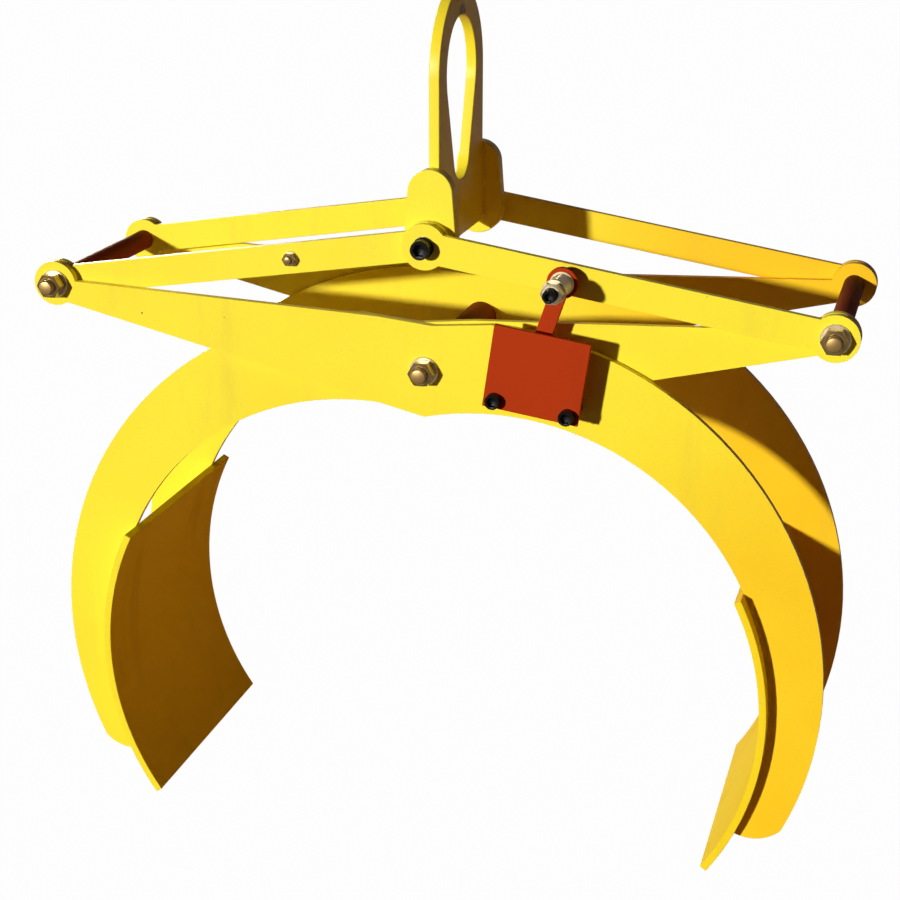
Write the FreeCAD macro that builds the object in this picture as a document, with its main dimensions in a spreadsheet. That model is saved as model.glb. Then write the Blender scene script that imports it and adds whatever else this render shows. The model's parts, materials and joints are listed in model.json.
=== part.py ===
import FreeCAD, Part
import math
import os

import Sketcher

# Pipe lifting clamp: a scissor grab for large pipe, hung from a plate bail.
# Millimetres, +Z up, X across the jaws, Y along the pipe. The origin is the bearing
# point under the crown of the bail's slot. The clamp is drawn open, on its latch.

SIZES = {
    # Linkage: four equal centre distances make a rhombus of head, corners and main pivot.
    "link_length": 632.6,
    "open_angle": 8.9,
    "eye_drop": 330.2,
    "half_width": 187.0,
    "plate_thickness": 12.0,
    "plate_gap": 4.0,
    "bar_width": 48.0,
    "boss_diameter": 72.0,
    # Pivot hardware
    "pivot_diameter": 24.0,
    "running_clearance": 0.05,
    "bush_wall": 5.0,
    "washer_diameter": 46.0,
    "washer_thickness": 4.0,
    "nut_flats": 36.0,
    "nut_height": 21.5,
    "bolt_head_height": 15.0,
    "thread_end": 11.0,
    "thrust_diameter": 60.0,
    "corner_spacer_diameter": 34.0,
    "main_spacer_diameter": 55.0,
    "bore_clearance": 0.3,
    "end_float": 0.2,
    # Head: bail plate, lugs and shoulder screws
    "bail_thickness": 17.0,
    "bail_leg": 44.0,
    "slot_foot_radius": 46.0,
    "slot_foot_drop": 212.0,
    "web_below_pivot": 19.0,
    "lug_thickness": 25.0,
    "lug_foot_radius": 42.0,
    "lug_top_radius": 36.0,
    "lug_top_rise": 77.0,
    "screw_head_diameter": 30.0,
    "screw_head_height": 20.0,
    "screw_socket_flats": 17.0,
    "screw_socket_depth": 10.0,
    "screw_thread_diameter": 20.0,
    "screw_tip_gap": 1.0,
    "head_collar_diameter": 33.0,
    "head_collar_thickness": 6.0,
    # Jaw arm outline, from the main pivot, for the arm whose jaw is at +X
    "lever_top_root_x": 76.0,
    "lever_top_root_rise": 82.0,
    "lever_top_tip_inset": 25.0,
    "lever_top_tip_rise": 6.0,
    "lever_foot_tip_inset": 20.0,
    "lever_foot_tip_drop": 30.0,
    "saddle_x": 13.0,
    "saddle_rise": 73.0,
    "crown_angle": 87.0,
    "arm_depth": 95.0,
    "back_inset_x": 13.7,
    "back_rise": 43.5,
    "back_end_angle": 24.7,
    "belly_crown_inset": 11.0,
    "cusp_drop": 75.0,
    "tip_angle": 26.0,
    "tip_radius": 66.0,
    # Jaw pads
    "pad_radius": 457.0,
    "pad_thickness": 12.0,
    "pad_half_width": 218.0,
    "pad_top_angle": 26.5,
    "pad_foot_angle": 34.5,
    "pivot_above_pipe": 76.5,
    "grip_angle": 9.95,
    # Opening stop on the front left link
    "stop_distance": 225.0,
    "stop_diameter": 12.0,
    "stop_flats": 19.0,
    "stop_nut_height": 10.0,
    "stop_head_height": 7.5,
    "stop_washer_diameter": 24.0,
    "stop_washer_thickness": 2.5,
    "stop_thread_end": 5.0,
    # Latch rod and its pin on the front right link
    "latch_distance": 225.0,
    "latch_pin_diameter": 20.0,
    "latch_pin_flats": 30.0,
    "latch_pin_head": 12.5,
    "latch_nut_height": 18.0,
    "latch_thread_end": 16.0,
    "latch_socket_flats": 11.0,
    "latch_socket_depth": 9.0,
    "latch_spacer_length": 20.0,
    "latch_spacer_diameter": 34.0,
    "latch_washer_diameter": 37.0,
    "latch_washer_thickness": 3.0,
    "latch_spring_length": 50.0,
    "latch_spring_diameter": 32.0,
    "latch_spring_bore": 24.0,
    "rod_thickness": 8.0,
    "rod_width": 26.0,
    "rod_eye_diameter": 48.0,
    "rod_tail": 45.0,
    "catch_x": 207.0,
    "catch_rise": 39.3,
    "catch_diameter": 20.0,
    "catch_side_gap": 1.0,
    "catch_swing": 3.5,
    # Guard plate in front of the latch
    "guard_width": 150.0,
    "guard_height": 130.0,
    "guard_thickness": 8.0,
    "guard_standoff": 46.0,
    "guard_tilt": 8.1,
    "guard_centre_x": 190.7,
    "guard_centre_rise": 22.5,
    "guard_screw_spacing": 115.0,
    "guard_screw_drop": 51.5,
    "guard_screw_diameter": 16.0,
    "guard_screw_head_diameter": 24.0,
    "guard_screw_socket_flats": 14.0,
    "guard_screw_socket_depth": 8.0,
    "standoff_diameter": 25.0,
}

doc = FreeCAD.newDocument("PipeLiftingClamp")
sheet = doc.addObject("Spreadsheet::Sheet", "Sizes")
for row, (alias, size) in enumerate(SIZES.items(), start=1):
    sheet.set(f"A{row}", alias)
    sheet.set(f"B{row}", str(size))
    sheet.setAlias(f"B{row}", alias)
doc.recompute()


def value(expression):
    """Work out an expression from the sheet."""
    return float(sheet.evalExpression(expression))


# Heights and spans of the pivots
COS_OPEN = "cos(Sizes.open_angle * 1 deg)"
SIN_OPEN = "sin(Sizes.open_angle * 1 deg)"
SPAN = f"(Sizes.link_length * {COS_OPEN})"
RISE = f"(Sizes.link_length * {SIN_OPEN})"
HEAD_Z = "(-Sizes.eye_drop)"
CORNER_Z = f"(-Sizes.eye_drop - {RISE})"
MAIN_Z = f"(-Sizes.eye_drop - 2 * {RISE})"

# Distances of the plate layers from the mid-plane
OUTER_FACE = "Sizes.half_width"
OUTER_BACK = "(Sizes.half_width - Sizes.plate_thickness)"
INNER_FRONT = "(Sizes.half_width - Sizes.plate_thickness - Sizes.plate_gap)"
INNER_FACE = "(Sizes.half_width - 2 * Sizes.plate_thickness - Sizes.plate_gap)"
LUG_FACE = "(Sizes.half_width - 2 * Sizes.plate_thickness - 2 * Sizes.plate_gap)"
BAIL_HALF = f"({LUG_FACE} - Sizes.lug_thickness)"
OUTER_MID = f"({OUTER_BACK} + Sizes.plate_thickness / 2)"
INNER_MID = f"({INNER_FACE} + Sizes.plate_thickness / 2)"
LUG_MID = f"({BAIL_HALF} + Sizes.lug_thickness / 2)"

# Centre of the pad arc, from the main pivot, while the clamp is open
PIPE_DROP = "(Sizes.pad_radius + Sizes.pivot_above_pipe)"
PAD_X = f"({PIPE_DROP} * sin(Sizes.grip_angle * 1 deg))"
PAD_Z = f"(-{PIPE_DROP} * cos(Sizes.grip_angle * 1 deg))"
PAD_BACK = "(Sizes.pad_radius + Sizes.pad_thickness)"

BUSH_DIAMETER = "(Sizes.pivot_diameter + 2 * Sizes.bush_wall)"
RUNNING_BORE = "(Sizes.pivot_diameter + 2 * Sizes.running_clearance)"
LOOSE_BORE = "(Sizes.pivot_diameter + 2 * Sizes.bore_clearance)"


# Sketches

def new_sketch(body, name, plane):
    """Attach a sketch to one of the body's own origin planes."""
    sketch = body.newObject("Sketcher::SketchObject", name)
    support = [item for item in body.Origin.OriginFeatures if item.Role == plane][0]
    sketch.AttachmentSupport = [(support, "")]
    sketch.MapMode = "FlatFace"
    return sketch


def bind(sketch, constraint, expression, name):
    """Tie a sketch dimension to the sheet."""
    index = sketch.addConstraint(constraint)
    sketch.renameConstraint(index, name)
    sketch.setExpression(f"Constraints.{name}", expression)


def place_point(sketch, edge, end, across, up, name):
    """Hold a sketch point at two expressions measured from the sketch origin."""
    if across == "0":
        sketch.addConstraint(Sketcher.Constraint("PointOnObject", edge, end, -2))
    else:
        rule = Sketcher.Constraint("DistanceX", -1, 1, edge, end, value(across))
        bind(sketch, rule, across, f"{name}_across")
    if up == "0":
        sketch.addConstraint(Sketcher.Constraint("PointOnObject", edge, end, -1))
    else:
        rule = Sketcher.Constraint("DistanceY", -1, 1, edge, end, value(up))
        bind(sketch, rule, up, f"{name}_up")


def arc_between(start, end, radius, turn):
    """Make an arc from start to end: turn is +1 for anticlockwise, -1 for clockwise."""
    chord = end - start
    half = chord.Length / 2
    height = math.sqrt(radius * radius - half * half)
    left = FreeCAD.Vector(-chord.y, chord.x, 0).normalize()
    centre = start + chord * 0.5 + left * height * turn
    circle = Part.Circle(centre, FreeCAD.Vector(0, 0, 1), radius)
    first, last = (start, end) if turn > 0 else (end, start)
    low = math.atan2(first.y - centre.y, first.x - centre.x)
    high = math.atan2(last.y - centre.y, last.x - centre.x)
    if high < low:
        high += 2 * math.pi
    return Part.ArcOfCircle(circle, low, high)


def draw_outline(sketch, corners, arcs):
    """Draw a closed outline.

    corners holds (across, up) expressions. arcs maps a corner's index to the radius
    expression and the turn of the arc that leaves it; other edges are straight.
    """
    points = [FreeCAD.Vector(value(across), value(up), 0) for across, up in corners]
    count = len(points)
    ends = []
    for index, start in enumerate(points):
        end = points[(index + 1) % count]
        if index in arcs:
            radius, turn = arcs[index]
            sketch.addGeometry(arc_between(start, end, value(radius), turn), False)
            ends.append((1, 2) if turn > 0 else (2, 1))
        else:
            sketch.addGeometry(Part.LineSegment(start, end), False)
            ends.append((1, 2))
    for index in range(count):
        following = (index + 1) % count
        joint = Sketcher.Constraint("Coincident", index, ends[index][1], following, ends[following][0])
        sketch.addConstraint(joint)
    for index, (across, up) in enumerate(corners):
        place_point(sketch, index, ends[index][0], across, up, f"corner_{index}")
    for index, (radius, _) in arcs.items():
        rule = Sketcher.Constraint("Radius", index, value(radius))
        bind(sketch, rule, radius, f"arc_{index}")


def draw_circles(sketch, circles):
    """Draw circles from (across, up, diameter) expressions."""
    for index, (across, up, diameter) in enumerate(circles):
        centre = FreeCAD.Vector(value(across), value(up), 0)
        circle = Part.Circle(centre, FreeCAD.Vector(0, 0, 1), value(diameter) / 2)
        sketch.addGeometry(circle, False)
        place_point(sketch, index, 3, across, up, f"centre_{index}")
        rule = Sketcher.Constraint("Diameter", index, value(diameter))
        bind(sketch, rule, diameter, f"width_{index}")


def teardrop(top_radius, top_up, foot_radius, foot_up):
    """Give the corners and arcs of the outline round two circles, one above the other."""
    lean = f"asin(({top_radius} - {foot_radius}) / ({top_up} - {foot_up}))"
    top_x = f"({top_radius} * cos({lean}))"
    top_y = f"({top_up} - {top_radius} * sin({lean}))"
    foot_x = f"({foot_radius} * cos({lean}))"
    foot_y = f"({foot_up} - {foot_radius} * sin({lean}))"
    corners = [
        ("0", f"({foot_up} - {foot_radius})"),
        (foot_x, foot_y),
        (top_x, top_y),
        ("0", f"({top_up} + {top_radius})"),
        (f"-{top_x}", top_y),
        (f"-{foot_x}", foot_y),
    ]
    arcs = {0: (foot_radius, 1), 2: (top_radius, 1), 3: (top_radius, 1), 5: (foot_radius, 1)}
    return corners, arcs


# Features

def new_body(label):
    """Start a body whose label names its file."""
    body = doc.addObject("PartDesign::Body", label)
    body.Label = label
    return body


def pad(body, sketch, name, thickness):
    """Thicken a sketch equally to both sides of its plane."""
    feature = body.newObject("PartDesign::Pad", name)
    feature.Profile = sketch
    feature.SideType = "Symmetric"
    feature.setExpression("Length", thickness)
    doc.recompute()
    return feature


def cut_through(body, sketch, name):
    """Cut a sketch through the whole body, and make sure that something was cut."""
    before = body.Shape.Volume
    feature = body.newObject("PartDesign::Pocket", name)
    feature.Profile = sketch
    feature.Type = "ThroughAll"
    feature.SideType = "Symmetric"
    doc.recompute()
    if body.Shape.Volume >= before:
        raise RuntimeError(f"{body.Label}: {name} cut nothing")
    return feature


def outline_plate(label, corners, arcs, thickness, plane="XZ_Plane"):
    """Make a flat plate from an outline."""
    body = new_body(label)
    sketch = new_sketch(body, "Outline", plane)
    draw_outline(sketch, corners, arcs)
    pad(body, sketch, "Plate", thickness)
    return body


def drill(body, name, circles, plane="XZ_Plane"):
    """Drill round holes through a plate."""
    sketch = new_sketch(body, name, plane)
    draw_circles(sketch, circles)
    cut_through(body, sketch, f"{name}Cut")


def locate(item, x="0", y="0", z="0"):
    """Tie an item's position to the sheet."""
    for axis, expression in (("x", x), ("y", y), ("z", z)):
        if expression != "0":
            item.setExpression(f"Placement.Base.{axis}", expression)
    return item


def turn(item, axis, angle):
    """Turn an item about an axis by an angle in degrees, given as an expression."""
    item.Placement = FreeCAD.Placement(FreeCAD.Vector(), FreeCAD.Rotation(axis, value(angle)))
    item.setExpression("Placement.Rotation.Angle", f"({angle}) * 1 deg")
    return item


ABOUT_X = FreeCAD.Vector(1, 0, 0)
ABOUT_Y = FreeCAD.Vector(0, 1, 0)
ABOUT_Z = FreeCAD.Vector(0, 0, 1)


# Turned and hexagonal pieces. Each grows from its seat, either towards the front, -Y,
# or towards the rear, +Y.

FRONT = 1
REAR = -1


def along_y(item, side, x, y, z):
    """Stand a piece on the height y of its seat, growing to the front or to the rear."""
    turn(item, ABOUT_X, "90" if side == FRONT else "-90")
    return locate(item, x, y, z)


def rod(name, diameter, length):
    """Make a plain round bar standing on its end."""
    item = doc.addObject("Part::Cylinder", name)
    item.setExpression("Radius", f"{diameter} / 2")
    item.setExpression("Height", length)
    return item


def boolean(kind, name, base, tool):
    """Combine two shapes."""
    item = doc.addObject(kind, name)
    item.Base = base
    item.Tool = tool
    return item


def ring(name, diameter, bore, length):
    """Make a tube, bush or washer."""
    return boolean("Part::Cut", name, rod(f"{name}Outside", diameter, length), rod(f"{name}Bore", bore, length))


def hexagon(name, flats, height):
    """Make a hexagonal prism whose far corners are turned down at 30 degrees."""
    prism = doc.addObject("Part::Prism", f"{name}Prism")
    prism.Polygon = 6
    prism.setExpression("Circumradius", f"{flats} / sqrt(3)")
    prism.setExpression("Height", height)
    cone = doc.addObject("Part::Cone", f"{name}Cone")
    cone.setExpression("Radius1", f"{flats} / 2 + {height} * sqrt(3)")
    cone.setExpression("Radius2", f"{flats} / 2")
    cone.setExpression("Height", height)
    return boolean("Part::Common", name, prism, cone)


def nut(name, flats, height, bore):
    """Make a nut: a hexagon with a plain hole at the thread's diameter."""
    return boolean("Part::Cut", name, hexagon(f"{name}Body", flats, height), rod(f"{name}Bore", bore, height))


def hex_bolt(name, flats, head_height, diameter, length):
    """Make a bolt whose shank grows from the seat and whose head lies behind it."""
    head = hexagon(f"{name}Head", flats, head_height)
    turn(head, ABOUT_X, "180")
    return boolean("Part::Fuse", name, head, rod(f"{name}Shank", diameter, length))


def drive_socket(name, flats, depth, face):
    """Make the hexagonal prism that cuts a socket of some depth below a face."""
    prism = doc.addObject("Part::Prism", name)
    prism.Polygon = 6
    prism.setExpression("Circumradius", f"{flats} / sqrt(3)")
    prism.setExpression("Height", depth)
    return locate(prism, z=f"{face} - {depth}")


def socket_screw(name, head_diameter, head_height, flats, socket_depth, shanks):
    """Make a cap screw: the head grows from the seat and the shanks lie behind it.

    shanks holds (diameter, depth) expressions, each depth measured from the seat.
    """
    head = rod(f"{name}Head", head_diameter, head_height)
    socket = drive_socket(f"{name}Socket", flats, socket_depth, head_height)
    piece = boolean("Part::Cut", f"{name}Cap", head, socket)
    for index, (diameter, depth) in enumerate(shanks):
        shank = rod(f"{name}Shank{index}", diameter, depth)
        turn(shank, ABOUT_X, "180")
        piece = boolean("Part::Fuse", f"{name}Stage{index}", piece, shank)
    return piece


def group(label, pieces):
    """Gather separate solids under one node."""
    item = doc.addObject("Part::Compound", label)
    item.Label = label
    item.Links = pieces
    return item


def named(item, label):
    """Label a single piece as a node."""
    item.Label = label
    return item


nodes = []


def keep(*items):
    """Add finished sub-parts to the list that is written out."""
    nodes.extend(items)


# Head: bail plate, two lugs and the shoulder screws that the links turn on

def bail_plate():
    """Upright lifting plate with a rounded crown and a tapered slot."""
    crown_z = f"(Sizes.bail_leg - {BAIL_HALF})"
    foot_z = "(-Sizes.eye_drop - Sizes.web_below_pivot)"
    corners = [
        (f"-{BAIL_HALF}", foot_z),
        (BAIL_HALF, foot_z),
        (BAIL_HALF, crown_z),
        ("0", "Sizes.bail_leg"),
        (f"-{BAIL_HALF}", crown_z),
    ]
    arcs = {2: (BAIL_HALF, 1), 3: (BAIL_HALF, 1)}
    body = outline_plate("bail_plate", corners, arcs, "Sizes.bail_thickness", "YZ_Plane")
    slot = new_sketch(body, "Slot", "YZ_Plane")
    draw_outline(slot, *teardrop(f"({BAIL_HALF} - Sizes.bail_leg)", crown_z,
                                 "Sizes.slot_foot_radius", "(-Sizes.slot_foot_drop)"))
    cut_through(body, slot, "SlotCut")
    return body


def head_lug(label, side):
    """Thick lug welded to one edge of the bail plate, tapped for the shoulder screw."""
    corners, arcs = teardrop("Sizes.lug_top_radius", "Sizes.lug_top_rise", "Sizes.lug_foot_radius", "0")
    body = outline_plate(label, corners, arcs, "Sizes.lug_thickness")
    drill(body, "Thread", [("0", "0", "Sizes.screw_thread_diameter")])
    return locate(body, y=f"{-side} * {LUG_MID}", z=HEAD_Z)


def head_screw(name, side):
    """Black shoulder screw: the links turn on its shoulder, the thread sits in the lug."""
    seat = f"({OUTER_FACE} + Sizes.head_collar_thickness)"
    thread_end = f"({seat} - {BAIL_HALF} - Sizes.screw_tip_gap)"
    screw = socket_screw(name, "Sizes.screw_head_diameter", "Sizes.screw_head_height",
                         "Sizes.screw_socket_flats", "Sizes.screw_socket_depth",
                         [("Sizes.pivot_diameter", f"({seat} - {LUG_FACE})"),
                          ("Sizes.screw_thread_diameter", thread_end)])
    return along_y(screw, side, "0", f"{-side} * {seat}", HEAD_Z)


def paired(label, maker, seat, x, z):
    """Make one ring at the front and one at the rear, both growing outwards from their seats."""
    pieces = []
    for name, side in (("Front", FRONT), ("Rear", REAR)):
        piece = maker(f"{label}_{name}")
        pieces.append(along_y(piece, side, x, f"{-side} * {seat}", z))
    return group(label, pieces)


def head_collar(name):
    """Hardened collar under a shoulder screw's head."""
    return ring(name, "Sizes.head_collar_diameter", RUNNING_BORE, "Sizes.head_collar_thickness")


def thrust_washer(name):
    """Wide washer that keeps two plates a gap apart."""
    return ring(name, "Sizes.thrust_diameter", LOOSE_BORE, "Sizes.plate_gap")


def outer_washer(name):
    """Flat washer under a nut or a bolt head."""
    return ring(name, "Sizes.washer_diameter", LOOSE_BORE, "Sizes.washer_thickness")


def plate_bush(name):
    """Bush pressed into a plate's boss."""
    return ring(name, BUSH_DIAMETER, RUNNING_BORE, "Sizes.plate_thickness")


def bush_set(label, seat, places):
    """Bushes at several pivots of one layer, front and rear."""
    pieces = []
    for index, (x, z) in enumerate(places):
        for name, side in (("Front", FRONT), ("Rear", REAR)):
            bush = plate_bush(f"{label}_{index}{name}")
            pieces.append(along_y(bush, side, x, f"{-side} * {seat}", z))
    return group(label, pieces)


# Links from the head to the corners

def link(label, angle, y, far_bore, extra_holes):
    """Flat link with a round boss at each end, lying from the head pivot outwards."""
    body = new_body(label)
    half = "Sizes.bar_width / 2"
    bar = new_sketch(body, "Bar", "XZ_Plane")
    corners = [("0", f"-{half}"), ("Sizes.link_length", f"-{half}"), ("Sizes.link_length", half), ("0", half)]
    draw_outline(bar, corners, {})
    pad(body, bar, "BarPlate", "Sizes.plate_thickness")
    bosses = new_sketch(body, "Bosses", "XZ_Plane")
    draw_circles(bosses, [("0", "0", "Sizes.boss_diameter"), ("Sizes.link_length", "0", "Sizes.boss_diameter")])
    pad(body, bosses, "BossPlate", "Sizes.plate_thickness")
    drill(body, "Bores", [("0", "0", BUSH_DIAMETER), ("Sizes.link_length", "0", far_bore)] + extra_holes)
    turn(body, ABOUT_Y, angle)
    return locate(body, y=y, z=HEAD_Z)


def left_link(label, side, extra_holes):
    """Left link, in the inner layer, with a bush at each end."""
    return link(label, "180 - Sizes.open_angle", f"{-side} * {INNER_MID}", BUSH_DIAMETER, extra_holes)


def right_link(label, side, extra_holes):
    """Right link, in the outer layer, clamped on the right corner bolt."""
    return link(label, "Sizes.open_angle", f"{-side} * {OUTER_MID}", "Sizes.pivot_diameter", extra_holes)


# Jaw arms: a straight lever to one corner and a curved jaw on the other side

def arm_outline():
    """Give the corners and arcs of the arm plate, from the main pivot."""
    back_radius = f"({PAD_BACK} + Sizes.arm_depth)"
    back_x = f"({PAD_X} - Sizes.back_inset_x)"
    back_z = f"({PAD_Z} + Sizes.back_rise)"
    belly_radius = "(Sizes.pad_radius - Sizes.belly_crown_inset)"
    crown = "Sizes.crown_angle * 1 deg"
    back_end = "Sizes.back_end_angle * 1 deg"
    tip = "Sizes.tip_angle * 1 deg"
    pad_top = "Sizes.pad_top_angle * 1 deg"
    corners = [
        (f"-({SPAN} - Sizes.lever_foot_tip_inset)", f"({RISE} - Sizes.lever_foot_tip_drop)"),
        ("0", "-Sizes.cusp_drop"),
        (f"({PAD_X} + {PAD_BACK} * cos({pad_top}))", f"({PAD_Z} + {PAD_BACK} * sin({pad_top}))"),
        (f"({PAD_X} + {PAD_BACK} * cos({tip}))", f"({PAD_Z} - {PAD_BACK} * sin({tip}))"),
        (f"({back_x} + {back_radius} * cos({back_end}))", f"({back_z} - {back_radius} * sin({back_end}))"),
        (f"({back_x} + {back_radius} * cos({crown}))", f"({back_z} + {back_radius} * sin({crown}))"),
        ("Sizes.saddle_x", "Sizes.saddle_rise"),
        ("-Sizes.lever_top_root_x", "Sizes.lever_top_root_rise"),
        (f"-({SPAN} - Sizes.lever_top_tip_inset)", f"({RISE} + Sizes.lever_top_tip_rise)"),
    ]
    arcs = {
        1: (belly_radius, -1),
        2: (PAD_BACK, -1),
        3: ("Sizes.tip_radius", 1),
        4: (back_radius, 1),
    }
    return corners, arcs


def arm_plate(label, side, layer, lever_bore, main_bore, extra_holes, mirrored):
    """One plate of a jaw arm, with its lever boss, its pivot holes and any small holes."""
    body = outline_plate(label, *arm_outline(), "Sizes.plate_thickness")
    boss = new_sketch(body, "LeverBoss", "XZ_Plane")
    draw_circles(boss, [(f"-{SPAN}", RISE, "Sizes.boss_diameter")])
    pad(body, boss, "LeverBossPlate", "Sizes.plate_thickness")
    drill(body, "Bores", [("0", "0", main_bore), (f"-{SPAN}", RISE, lever_bore)] + extra_holes)
    if mirrored:
        turn(body, ABOUT_Z, "180")
    return locate(body, y=f"{-side} * {layer}", z=MAIN_Z)


def jaw_pad(label, mirrored):
    """Curved plate across the jaw, rolled to the pipe's radius."""
    top = "Sizes.pad_top_angle * 1 deg"
    foot = "Sizes.pad_foot_angle * 1 deg"
    corners = []
    for radius, angle, sign in ((PAD_BACK, foot, "-"), (PAD_BACK, top, "+"),
                                ("Sizes.pad_radius", top, "+"), ("Sizes.pad_radius", foot, "-")):
        corners.append((f"({PAD_X} + {radius} * cos({angle}))", f"({PAD_Z} {sign} {radius} * sin({angle}))"))
    arcs = {0: (PAD_BACK, 1), 2: ("Sizes.pad_radius", -1)}
    body = outline_plate(label, corners, arcs, "2 * Sizes.pad_half_width")
    if mirrored:
        turn(body, ABOUT_Z, "180")
    return locate(body, z=MAIN_Z)


# Pivot bolts with their nuts, washers and spacer tubes

def pivot_bolt(label, x, z):
    """Through bolt: hexagon head at the rear, thread end in front of the nut."""
    grip = f"(2 * {OUTER_FACE} + 2 * Sizes.washer_thickness)"
    length = f"({grip} + Sizes.nut_height + Sizes.thread_end)"
    bolt = hex_bolt(label, "Sizes.nut_flats", "Sizes.bolt_head_height", "Sizes.pivot_diameter", length)
    seat = f"({OUTER_FACE} + Sizes.washer_thickness)"
    return named(along_y(bolt, FRONT, x, seat, z), label)


def pivot_nut(label, x, z):
    """Nut on the front end of a pivot bolt."""
    item = nut(label, "Sizes.nut_flats", "Sizes.nut_height", "Sizes.pivot_diameter")
    seat = f"-({OUTER_FACE} + Sizes.washer_thickness)"
    return named(along_y(item, FRONT, x, seat, z), label)


def spacer_tube(label, diameter, x, z):
    """Tube on a pivot bolt that keeps the two inner plates apart."""
    half = f"({INNER_FACE} - Sizes.end_float)"
    tube = ring(label, diameter, LOOSE_BORE, f"2 * {half}")
    return named(along_y(tube, FRONT, x, half, z), label)


def pivot_set(place, diameter, x, z):
    """Bolt, nut, washers, thrust washers and spacer tube of one through pivot."""
    return [
        pivot_bolt(f"{place}_pivot_bolt", x, z),
        pivot_nut(f"{place}_pivot_nut", x, z),
        paired(f"{place}_pivot_washers", outer_washer, OUTER_FACE, x, z),
        paired(f"{place}_thrust_washers", thrust_washer, INNER_FRONT, x, z),
        spacer_tube(f"{place}_spacer_tube", diameter, x, z),
    ]


# Opening stop: a small bolt through the front left link, over the right jaw's lever

STOP_X = f"(-Sizes.stop_distance * {COS_OPEN})"
STOP_Z = f"({HEAD_Z} - Sizes.stop_distance * {SIN_OPEN})"


def stop_parts():
    """Stop bolt, with its head behind the link, and its nut and washer in front."""
    length = ("(Sizes.plate_thickness + Sizes.stop_washer_thickness"
              " + Sizes.stop_nut_height + Sizes.stop_thread_end)")
    bolt = hex_bolt("stop_bolt", "Sizes.stop_flats", "Sizes.stop_head_height", "Sizes.stop_diameter", length)
    along_y(bolt, FRONT, STOP_X, f"-{INNER_FACE}", STOP_Z)
    washer = ring("stop_washer", "Sizes.stop_washer_diameter", "Sizes.stop_diameter", "Sizes.stop_washer_thickness")
    along_y(washer, FRONT, STOP_X, f"-{INNER_FRONT}", STOP_Z)
    stop_nut = nut("stop_nut", "Sizes.stop_flats", "Sizes.stop_nut_height", "Sizes.stop_diameter")
    along_y(stop_nut, FRONT, STOP_X, f"-({INNER_FRONT} + Sizes.stop_washer_thickness)", STOP_Z)
    return [named(bolt, "stop_bolt"), named(washer, "stop_washer"), named(stop_nut, "stop_nut")]


# Latch: a flat rod hung on a long pin, whose notch drops onto a catch pin on the arm

LATCH_X = f"(Sizes.latch_distance * {COS_OPEN})"
LATCH_Z = f"({HEAD_Z} - Sizes.latch_distance * {SIN_OPEN})"
ROD_BACK = f"({OUTER_FACE} + Sizes.latch_spacer_length)"
ROD_FACE = f"({ROD_BACK} + Sizes.rod_thickness)"
SPRING_SEAT = f"({ROD_FACE} + Sizes.latch_washer_thickness)"
SPRING_END = f"({SPRING_SEAT} + Sizes.latch_spring_length)"
LATCH_NUT_SEAT = f"({SPRING_END} + Sizes.latch_washer_thickness)"
LATCH_BORE = "(Sizes.latch_pin_diameter + 2 * Sizes.running_clearance)"

# The catch pin is set in the arm, a small gap to the right of the rod, and so gives the
# rod its lean and the place of its notch
CATCH_SIDE = "(Sizes.rod_width / 2 + Sizes.catch_side_gap + Sizes.catch_diameter / 2)"
CATCH_ACROSS = f"({LATCH_X} - Sizes.catch_x)"
CATCH_BELOW = f"({LATCH_Z} - {MAIN_Z} - Sizes.catch_rise)"
CATCH_REACH = f"sqrt({CATCH_ACROSS} ^ 2 + {CATCH_BELOW} ^ 2)"
CATCH_ALONG = f"sqrt({CATCH_REACH} ^ 2 - {CATCH_SIDE} ^ 2)"
ROD_LEAN = f"((atan({CATCH_ACROSS} / {CATCH_BELOW}) + asin({CATCH_SIDE} / {CATCH_REACH})) / 1 deg)"


def latch_pin_parts():
    """Long latch pin with a socket in its end, and its spacer, washers, friction spring and nut."""
    length = f"({LATCH_NUT_SEAT} - {OUTER_BACK} + Sizes.latch_nut_height + Sizes.latch_thread_end)"
    bolt = hex_bolt("LatchBolt", "Sizes.latch_pin_flats", "Sizes.latch_pin_head", "Sizes.latch_pin_diameter", length)
    socket = drive_socket("LatchSocket", "Sizes.latch_socket_flats", "Sizes.latch_socket_depth", length)
    pin = boolean("Part::Cut", "latch_pin", bolt, socket)
    along_y(pin, FRONT, LATCH_X, f"-{OUTER_BACK}", LATCH_Z)
    spacer = ring("latch_spacer", "Sizes.latch_spacer_diameter", "Sizes.latch_pin_diameter",
                  "Sizes.latch_spacer_length")
    along_y(spacer, FRONT, LATCH_X, f"-{OUTER_FACE}", LATCH_Z)
    washers = []
    for name, seat in (("Rod", ROD_FACE), ("Nut", SPRING_END)):
        washer = ring(f"LatchWasher{name}", "Sizes.latch_washer_diameter", "Sizes.latch_pin_diameter",
                      "Sizes.latch_washer_thickness")
        washers.append(along_y(washer, FRONT, LATCH_X, f"-{seat}", LATCH_Z))
    spring = ring("latch_spring", "Sizes.latch_spring_diameter", "Sizes.latch_spring_bore",
                  "Sizes.latch_spring_length")
    along_y(spring, FRONT, LATCH_X, f"-{SPRING_SEAT}", LATCH_Z)
    latch_nut = nut("latch_nut", "Sizes.latch_pin_flats", "Sizes.latch_nut_height", "Sizes.latch_pin_diameter")
    along_y(latch_nut, FRONT, LATCH_X, f"-{LATCH_NUT_SEAT}", LATCH_Z)
    return [named(pin, "latch_pin"), named(spacer, "latch_spacer"), group("latch_washers", washers),
            named(spring, "latch_spring"), named(latch_nut, "latch_nut")]


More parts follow.
